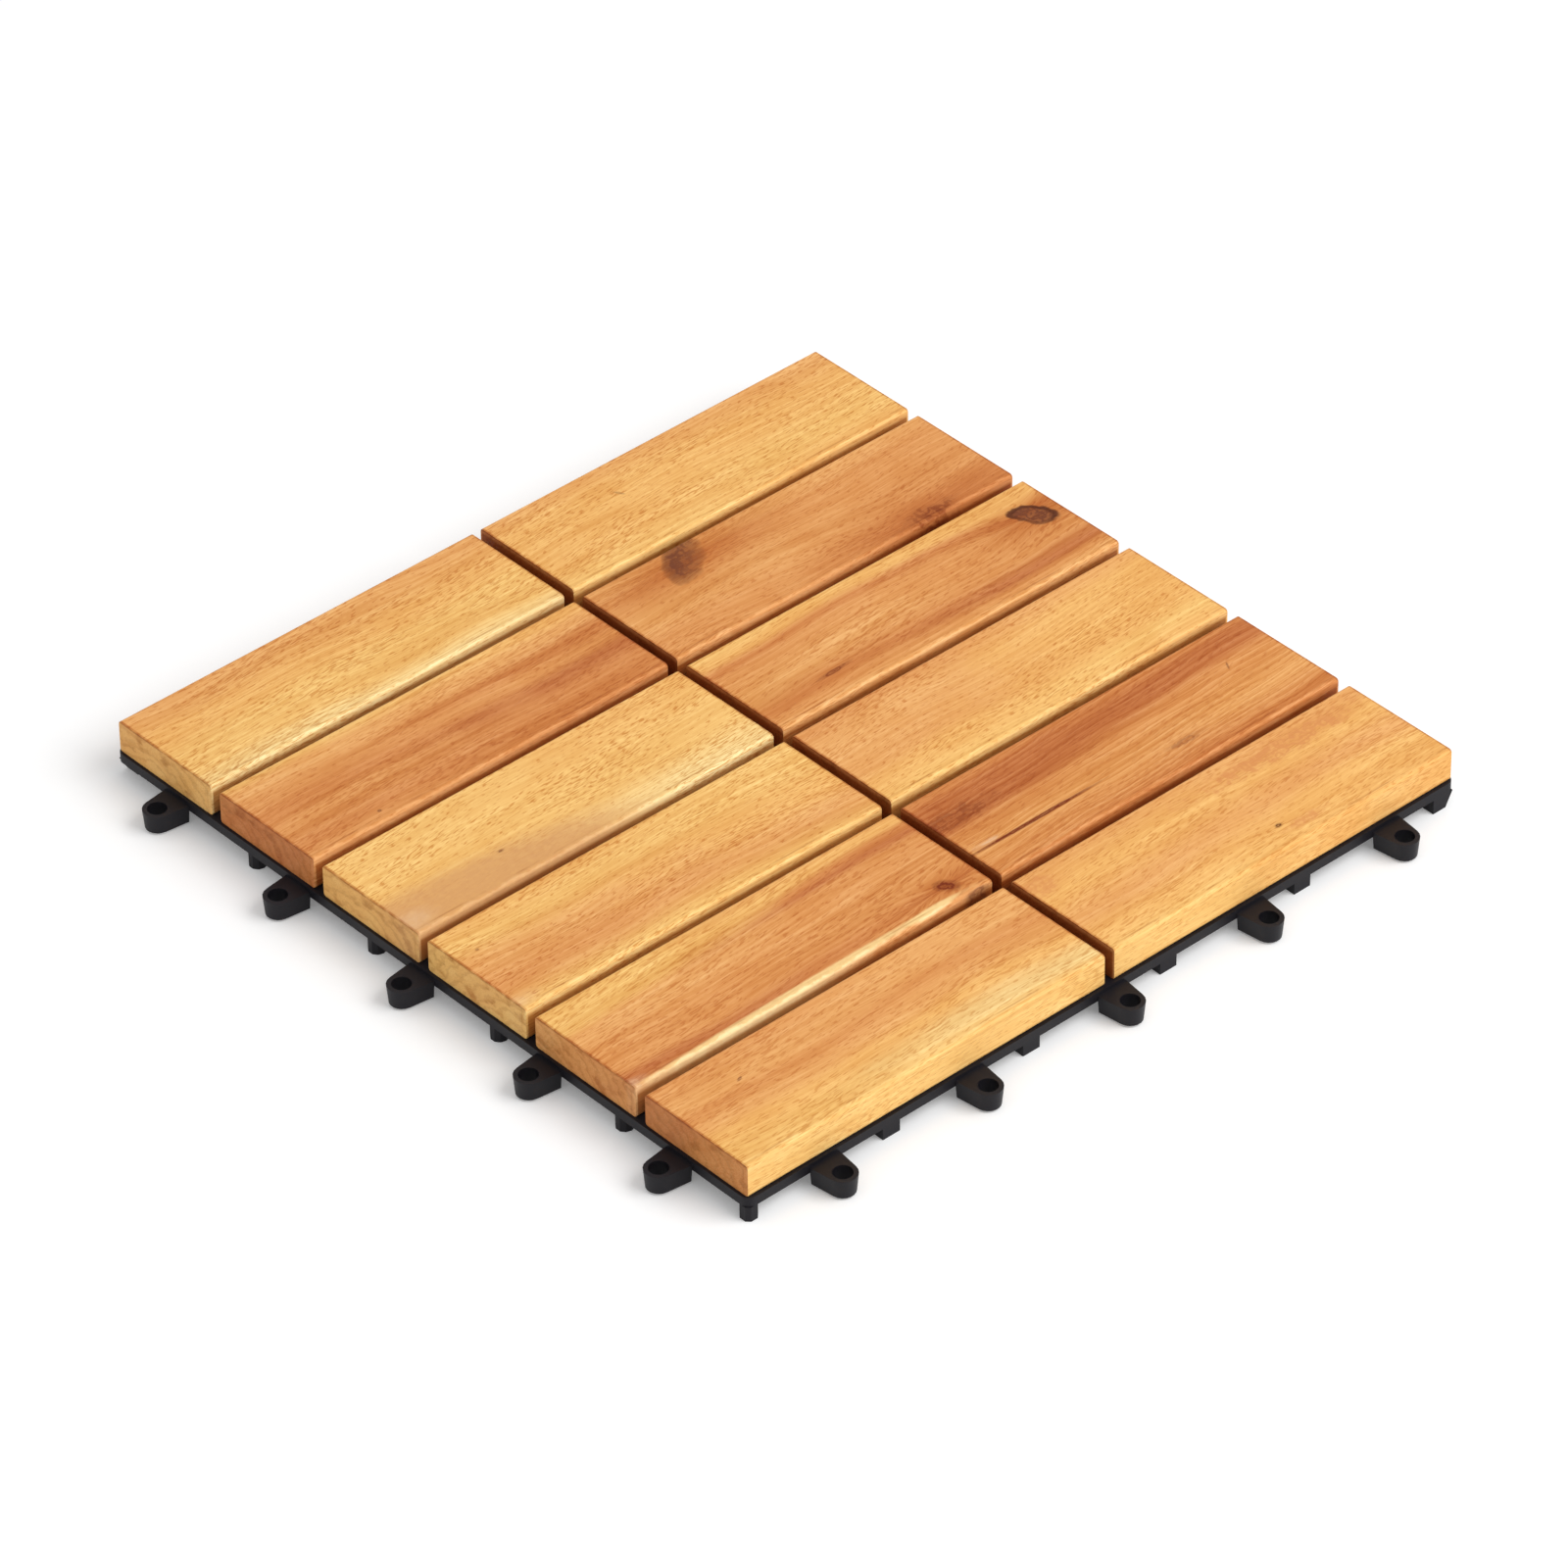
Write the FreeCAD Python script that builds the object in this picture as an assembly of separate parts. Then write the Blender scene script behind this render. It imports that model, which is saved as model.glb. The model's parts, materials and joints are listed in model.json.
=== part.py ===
import FreeCAD, Part
import math
import os

# Interlocking deck tile: twelve hardwood slats screwed from below to one moulded plastic grid.
# Millimetres, +Z up. The origin is on the floor under the middle of the wood.
# Slats run along X in two columns. Loops stand out of the -X and -Y sides, and the +X and +Y
# sides carry the downward pins that drop into the next tile's loops.

Vector = FreeCAD.Vector
UP = Vector(0, 0, 1)

# Slats
slat_rows = 6
slat_columns = 2
slat_length = 148.0
slat_width = 46.5
slat_thickness = 12.0
slat_row_gap = 4.2
slat_column_gap = 4.0
slat_top_round = 1.2
slat_bottom_ease = 1.0

# Grid: frame strip and ribs
foot_height = 5.5
strip_depth = 3.5
strip_width = 10.0
strip_proud = 1.0
strip_corner_round = 3.0
rib_width = 4.4
centre_rib_width = 3.0
centre_rib_depth = 2.6
plate_thickness = 1.5

# Feet
stud_radius = 2.7
stud_side_count = 8
peg_radius = 3.1
peg_side_count = 10
block_width = 7.0
block_depth = 5.5
block_setback = 1.0
corner_foot_width = 5.2
corner_foot_ease = 1.3
end_foot_width = 5.5
end_foot_inset = 3.0
end_foot_taper = 3.0
edge_foot_lag = 1.5

# Loops and pins
loops_per_side = 5
loop_reach = 8.3
loop_nose_radius = 4.9
loop_nose_side_count = 9
loop_root_width = 12.0
loop_hole_radius = 3.3
loop_top_below_strip = 1.4
loop_floor_clearance = 0.8
loop_draft = 0.6
pin_clearance = 0.3
pocket_clearance = 0.6
pocket_headroom = 0.2
tile_joint_gap = 0.4

# Screws
screw_head_radius = 2.6
screw_head_height = 1.9
screw_head_side_count = 8
screw_core_radius = 1.5
screw_core_side_count = 6
screw_bite = 8.0
screw_pilot_clearance = 0.05
screw_pilot_spare = 0.8
screw_hole_clearance = 0.3

# How far a cutting shape runs past the face it cuts through
overshoot = 1.0

# Worked out from the sizes above
slat_row_pitch = slat_width + slat_row_gap
slat_column_pitch = slat_length + slat_column_gap
half_x = (slat_columns * slat_column_pitch - slat_column_gap) / 2
half_y = (slat_rows * slat_row_pitch - slat_row_gap) / 2
grid_top = foot_height + strip_depth
face_x = half_x + strip_proud
face_y = half_y + strip_proud
inner_x = half_x - strip_width
inner_y = half_y - strip_width
loop_pitch_x = 2 * half_x / loops_per_side
loop_pitch_y = 2 * half_y / loops_per_side
lattice_pitch = slat_row_pitch / 2
loop_top = grid_top - loop_top_below_strip
loop_reach_total = loop_reach + loop_nose_radius
pin_radius = loop_hole_radius - pin_clearance
pocket_ceiling = loop_top + pocket_headroom
pin_inset = loop_reach - tile_joint_gap
pocket_depth = loop_reach_total - tile_joint_gap + pocket_clearance
pocket_width = loop_root_width + 2 * pocket_clearance


def box(x0, x1, y0, y1, z0, z1):
    """A box between two opposite corners."""
    return Part.makeBox(x1 - x0, y1 - y0, z1 - z0, Vector(x0, y0, z0))


def prism(x, y, radius, side_count, z0, z1):
    """A small round drawn with a few flats, because it is repeated many times."""
    corners = []
    for n in range(side_count + 1):
        angle = 2 * math.pi * (n + 0.5) / side_count
        corners.append(Vector(x + radius * math.cos(angle), y + radius * math.sin(angle), z0))
    corners[-1] = corners[0]
    return Part.Face(Part.makePolygon(corners)).extrude(UP * (z1 - z0))


def upright_edges(block):
    """The four upright edges of a box."""
    return [e for e in block.Edges if abs(e.Vertexes[0].Z - e.Vertexes[1].Z) > block.BoundBox.ZLength / 2]


def fused(shapes):
    """One solid from several that meet, without the seams between their faces."""
    return shapes[0].fuse(shapes[1:]).removeSplitter()


def side_positions(count, pitch):
    """Places along a side, spread evenly about its middle."""
    return [(n - (count - 1) / 2) * pitch for n in range(count)]


def lattice_crossings():
    """Crossings (i, j) of the diagonal ribs that lie inside the frame strip."""
    last_i = int((inner_x - stud_radius) / lattice_pitch)
    last_j = int((inner_y - stud_radius) / lattice_pitch)
    crossings = []
    for i in range(-last_i, last_i + 1):
        for j in range(-last_j, last_j + 1):
            if (i + j) % 2 == 0:
                crossings.append((i, j))
    return crossings


def screw_places():
    """Two crossings under each slat: the odd ones next to its two ends."""
    crossings = lattice_crossings()
    odd_columns = sorted({abs(i) for i, j in crossings if i % 2})
    ends = {odd_columns[0], odd_columns[-1]}
    return [(i * lattice_pitch, j * lattice_pitch) for i, j in crossings if j % 2 and abs(i) in ends]


def stud_places():
    """Every crossing that carries no screw stands on the floor on a stud."""
    taken = set(screw_places())
    places = [(i * lattice_pitch, j * lattice_pitch) for i, j in lattice_crossings()]
    return [place for place in places if place not in taken]


def frame_strip():
    """The rim under the outer edges of the wood, a little proud of it."""
    block = box(-face_x, face_x, -face_y, face_y, foot_height, grid_top)
    outside = block.makeFillet(strip_corner_round, upright_edges(block))
    return outside.cut(box(-inner_x, inner_x, -inner_y, inner_y, 0, grid_top + overshoot))


def diagonal_ribs():
    """Two families of ribs at 45 degrees, trimmed to the middle of the frame strip."""
    reach = half_x + half_y
    spacing = 2 * lattice_pitch
    last = int((inner_x + inner_y) / spacing)
    ribs = []
    for n in range(-last, last + 1):
        for turn in (45, -45):
            rib = box(-reach, reach, -rib_width / 2, rib_width / 2, foot_height, grid_top)
            rib.rotate(Vector(0, 0, 0), UP, turn)
            rib.translate(Vector(n * spacing, 0, 0))
            ribs.append(rib)
    trim_x = inner_x + strip_width / 2
    trim_y = inner_y + strip_width / 2
    return fused(ribs).common(box(-trim_x, trim_x, -trim_y, trim_y, 0, grid_top))


def centre_ribs():
    """Two straight ribs through the middle, shallower than the diagonals."""
    z0 = grid_top - centre_rib_depth
    half = centre_rib_width / 2
    trim_x = inner_x + strip_width / 2
    trim_y = inner_y + strip_width / 2
    along_x = box(-trim_x, trim_x, -half, half, z0, grid_top)
    along_y = box(-half, half, -trim_y, trim_y, z0, grid_top)
    return [along_x, along_y]


def edge_plate():
    """The closed cell at the middle of the +Y side."""
    last_odd = max(j for i, j in lattice_crossings() if j % 2)
    y0 = last_odd * lattice_pitch
    y1 = inner_y + strip_width / 2
    top_half = lattice_pitch - (y1 - y0)
    corners = [(-lattice_pitch, y0), (lattice_pitch, y0), (top_half, y1), (-top_half, y1)]
    points = [Vector(x, y, grid_top - plate_thickness) for x, y in corners]
    return Part.Face(Part.makePolygon(points + points[:1])).extrude(UP * plate_thickness)


def side_pegs(side_x):
    """Round feet between the loops of an X side, flush with the strip's outer face."""
    x = math.copysign(face_x - peg_radius, side_x)
    pegs = []
    for n in range(1, loops_per_side):
        y = n * (loop_pitch_y - edge_foot_lag) - half_y
        pegs.append(prism(x, y, peg_radius, peg_side_count, 0, foot_height))
    return pegs


def side_blocks(side_y):
    """Flat-faced feet between the loops of a Y side, set back a little under the strip."""
    y_outer = face_y - block_setback
    y0, y1 = sorted((math.copysign(y_outer, side_y), math.copysign(y_outer - block_depth, side_y)))
    blocks = []
    for n in range(1, loops_per_side):
        x = n * (loop_pitch_x - edge_foot_lag) - half_x
        blocks.append(box(x - block_width / 2, x + block_width / 2, y0, y1, 0, foot_height))
    return blocks


def corner_feet():
    """Square feet with eased edges under the two corners where like sides meet."""
    feet = []
    for sign in (-1, 1):
        x0, x1 = sorted((sign * face_x, sign * (face_x - corner_foot_width)))
        y0, y1 = sorted((sign * face_y, sign * (face_y - corner_foot_width)))
        foot = box(x0, x1, y0, y1, 0, foot_height)
        feet.append(foot.makeChamfer(corner_foot_ease, upright_edges(foot)))
    return feet


def end_feet():
    """Feet beside the two other corners, tapering out to the strip's end."""
    inner = end_foot_inset + end_foot_width
    flared = end_foot_inset - end_foot_taper
    profile = [(inner, 0), (end_foot_inset, 0), (flared, foot_height), (inner, foot_height)]
    feet = []
    for sign in (-1, 1):
        corners = [Vector(sign * (half_x - inset), -sign * face_y, z) for inset, z in profile]
        side = Part.Face(Part.makePolygon(corners + corners[:1]))
        feet.append(side.extrude(Vector(0, sign * end_foot_width, 0)))
    return feet


def loop_outline(z, inset):
    """Corners of one loop on the -Y side: straight tapering sides that run into a round nose."""
    half_root = loop_root_width / 2
    nose_y = -face_y - loop_reach
    corner_distance = math.hypot(loop_reach, half_root)
    tangent_angle = math.atan2(loop_reach, half_root) - math.acos(loop_nose_radius / corner_distance)
    root_x = half_root - inset / math.cos(tangent_angle)
    radius = loop_nose_radius - inset
    corners = [Vector(root_x, -face_y, z)]
    for n in range(loop_nose_side_count + 1):
        angle = tangent_angle - n * (math.pi + 2 * tangent_angle) / loop_nose_side_count
        corners.append(Vector(radius * math.cos(angle), nose_y + radius * math.sin(angle), z))
    corners.append(Vector(-root_x, -face_y, z))
    return corners


def flat_sided(bottom, top):
    """A solid between two outlines whose matching edges are parallel."""
    faces = [Part.Face(Part.makePolygon(outline + outline[:1])) for outline in (bottom, top)]
    for n in range(len(bottom)):
        quad = [bottom[n - 1], bottom[n], top[n], top[n - 1]]
        faces.append(Part.Face(Part.makePolygon(quad + quad[:1])))
    return Part.Solid(Part.Shell(faces))


def loop(position):
    """One loop of the -Y side, narrower at its foot, with the hole left to be drilled."""
    body = flat_sided(loop_outline(loop_floor_clearance, loop_draft), loop_outline(loop_top, 0))
    body.translate(Vector(position, 0, 0))
    return body


def loop_hole(position):
    """The upright hole near the loop's tip."""
    return Part.makeCylinder(loop_hole_radius, grid_top, Vector(position, -face_y - loop_reach, 0))


def pocket(position):
    """Room under the +Y side for the next tile's loop."""
    half = pocket_width / 2
    inner = face_y - pocket_depth
    return box(position - half, position + half, inner, face_y + overshoot, -overshoot, pocket_ceiling)


def pin(position):
    """The pin that hangs from the pocket's ceiling and drops into the next tile's loop."""
    foot = Vector(position, face_y - pin_inset, loop_floor_clearance)
    return Part.makeCylinder(pin_radius, grid_top - loop_floor_clearance, foot)


def on_sides(make, low_side):
    """The same feature on both sides that carry it: -Y and -X, or +Y and +X."""
    features = [make(position) for position in side_positions(loops_per_side, loop_pitch_x)]
    for position in side_positions(loops_per_side, loop_pitch_y):
        other = make(position)
        other.translate(Vector(0, (face_y - face_x) * (1 if low_side else -1), 0))
        other.rotate(Vector(0, 0, 0), UP, -90)
        features.append(other)
    return features


def base_grid():
    """The whole moulding: frame, ribs, feet, loops and pins in one piece."""
    body = [frame_strip(), diagonal_ribs(), edge_plate()] + centre_ribs()
    grid = fused(body)
    grid = grid.cut(on_sides(pocket, False))
    feet = side_pegs(-1) + side_pegs(1) + side_blocks(-1) + side_blocks(1) + corner_feet() + end_feet()
    feet += [prism(x, y, stud_radius, stud_side_count, 0, grid_top) for x, y in stud_places()]
    grid = fused([grid] + feet + on_sides(loop, True) + on_sides(pin, False))
    drilled = on_sides(loop_hole, True)
    hole_radius = screw_core_radius + screw_hole_clearance
    drilled += [prism(x, y, hole_radius, screw_core_side_count, 0, grid_top + overshoot)
                for x, y in screw_places()]
    return grid.cut(drilled).removeSplitter()


def slat_blank():
    """One slat along X: its long edges are round on top and eased below."""
    half = slat_width / 2
    top = slat_thickness
    bend = slat_top_round * (1 - math.sqrt(0.5))
    ease = slat_bottom_ease
    p = [Vector(0, y, z) for y, z in (
        (ease - half, 0), (half - ease, 0), (half, ease), (half, top - slat_top_round),
        (half - bend, top - bend), (half - slat_top_round, top), (slat_top_round - half, top),
        (bend - half, top - bend), (-half, top - slat_top_round), (-half, ease))]
    outline = Part.Wire([
        Part.makeLine(p[0], p[1]), Part.makeLine(p[1], p[2]), Part.makeLine(p[2], p[3]),
        Part.Arc(p[3], p[4], p[5]).toShape(), Part.makeLine(p[5], p[6]),
        Part.Arc(p[6], p[7], p[8]).toShape(), Part.makeLine(p[8], p[9]), Part.makeLine(p[9], p[0]),
    ])
    blank = Part.Face(outline).extrude(Vector(slat_length, 0, 0))
    blank.translate(Vector(-slat_length / 2, 0, grid_top))
    return blank


def slat(x, y):
    """A slat in its place, with the pilot holes of the screws that reach it."""
    board = slat_blank()
    board.translate(Vector(x, y, 0))
    radius = screw_core_radius + screw_pilot_clearance
    z0 = grid_top - overshoot
    z1 = grid_top + screw_bite + screw_pilot_spare
    holes = []
    for screw_x, screw_y in screw_places():
        if abs(screw_x - x) < slat_length / 2 and abs(screw_y - y) < slat_width / 2:
            holes.append(prism(screw_x, screw_y, radius, screw_core_side_count, z0, z1))
    return board.cut(holes)


def screw(x, y):
    """A pan-head wood screw, its head up against the grid's underside and its core in the slat."""
    head_z = foot_height - screw_head_height
    head = prism(x, y, screw_head_radius, screw_head_side_count, head_z, foot_height)
    core = prism(x, y, screw_core_radius, screw_core_side_count, foot_height, grid_top + screw_bite)
    return fused([head, core])


def save(shape, name):
    """Writes one sub-part and prints its size."""
    solids = shape.Solids
    if not shape.isValid():
        raise ValueError(name + " is not a valid shape")
    print(name, len(solids), "solids", round(shape.Volume, 1), "mm3")
    shape.exportStep(os.path.join("parts", name + ".step"))


def main():
    os.makedirs("parts", exist_ok=True)
    save(base_grid(), "base_grid")
    columns = side_positions(slat_columns, slat_column_pitch)
    rows = side_positions(slat_rows, slat_row_pitch)
    for column, x in enumerate(columns):
        for row, y in enumerate(reversed(rows)):
            save(slat(x, y), "slat_%s%d" % ("abcdefgh"[column], row + 1))
    save(Part.makeCompound([screw(x, y) for x, y in screw_places()]), "slat_screws")


main()
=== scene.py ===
"""Looks of an interlocking deck tile: oiled hardwood slats screwed to a black plastic grid."""

import json
import logging
import math
from dataclasses import dataclass
from enum import Enum

import bmesh
import bpy
from mathutils import Matrix, Vector

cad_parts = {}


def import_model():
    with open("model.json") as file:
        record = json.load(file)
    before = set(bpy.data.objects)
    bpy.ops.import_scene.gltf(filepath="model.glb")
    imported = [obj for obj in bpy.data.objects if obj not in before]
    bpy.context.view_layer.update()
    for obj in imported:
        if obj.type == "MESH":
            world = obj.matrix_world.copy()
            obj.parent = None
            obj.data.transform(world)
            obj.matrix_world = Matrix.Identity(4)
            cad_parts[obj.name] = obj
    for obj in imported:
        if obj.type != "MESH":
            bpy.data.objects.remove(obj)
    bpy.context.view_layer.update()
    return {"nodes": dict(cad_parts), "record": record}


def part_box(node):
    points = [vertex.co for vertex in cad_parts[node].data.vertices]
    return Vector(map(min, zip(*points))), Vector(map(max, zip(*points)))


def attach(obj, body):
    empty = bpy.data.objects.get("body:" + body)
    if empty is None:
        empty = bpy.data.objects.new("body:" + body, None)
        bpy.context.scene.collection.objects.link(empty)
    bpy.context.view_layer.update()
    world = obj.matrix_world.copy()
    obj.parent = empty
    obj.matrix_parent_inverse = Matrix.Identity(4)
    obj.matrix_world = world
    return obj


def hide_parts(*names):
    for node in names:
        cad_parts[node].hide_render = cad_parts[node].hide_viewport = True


log = logging.getLogger("deck_tile")

MM = 0.001
SAME_PLACE = 1e-6
WELD = 0.002 * MM
WHITE = (1.0, 1.0, 1.0, 1.0)
SIGNS = {"+": "ADD", "-": "SUBTRACT", "*": "MULTIPLY", "/": "DIVIDE", "*+": "MULTIPLY_ADD"}

Socket = bpy.types.NodeSocket
Sockets = bpy.types.bpy_prop_collection
Triple = tuple[float, float, float]
Colour = tuple[float, float, float, float]


def from_srgb(value: float) -> float:
    """The linear share of light for an sRGB display value, both from 0 to 1."""
    return (value + 0.055) ** 2.4 / 1.055 ** 2.4 if value > 0.04045 else value / 12.92


class Tone(Enum):
    """Tones of oiled acacia, from sapwood to bark, as 8-bit display values."""

    CREAM = (254, 219, 151)
    GOLD = (251, 201, 122)
    HONEY = (247, 190, 113)
    AMBER = (240, 177, 109)
    TAN = (231, 162, 97)
    RUSSET = (221, 147, 86)
    CHESTNUT = (204, 126, 73)
    # CHALK is also the tone of painted highlights of glare near the outer ends of some slats.
    CHALK = (244, 214, 180)
    FAWN = (218, 160, 102)
    RUST = (122, 46, 12)
    UMBER = (112, 58, 34)
    BARK = (80, 32, 10)

    def linear(self) -> Colour:
        """The tone as a linear colour with full alpha."""
        red, green, blue = (from_srgb(value / 255) for value in self.value)
        return red, green, blue, 1.0


Bands = dict[float, Tone]


@dataclass(frozen=True)
class Mark:
    """A knot, fleck or check in a slat, or a painted highlight on it, as an ellipse on its face.

    x and y are its place on the tile and length and width its half axes, all in millimetres. turn is how
    far its long axis is turned from X, in degrees. core, rim and halo say how far its inside, its outline
    and the wood round it take their tones, ragged how uneven it is, soft how wide its outline fades, as a
    share of its size, lean how much paler its lower side is, and bend how far the grain gives way to it, in
    millimetres.
    """

    x: float
    y: float
    length: float
    width: float
    turn: float = 0.0
    core: float = 0.8
    rim: float = 0.0
    halo: float = 0.0
    ragged: float = 0.9
    soft: float = 0.6
    lean: float = 0.0
    bend: float = 0.0
    tone: Tone = Tone.BARK


@dataclass(frozen=True)
class Timber:
    """The figure of one slat: its tones from the +Y edge to the -Y edge, at both ends, and its marks."""

    seed: float
    near: Bands
    far: Bands
    turn_from: float = -40.0
    turn_to: float = 40.0
    slope: float = 0.0
    wander: float = 5.0
    streaks: float = 0.3
    fibres: float = 0.45
    lines: float = 0.1
    pores: float = 0.7
    # How pale the -Y arris is: partly sanded wood, partly painted highlight where the light falls on that
    # side.
    raw_and_highlight: float = 0.75
    end: Tone = Tone.CHESTNUT
    marks: tuple[Mark, ...] = ()


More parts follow.
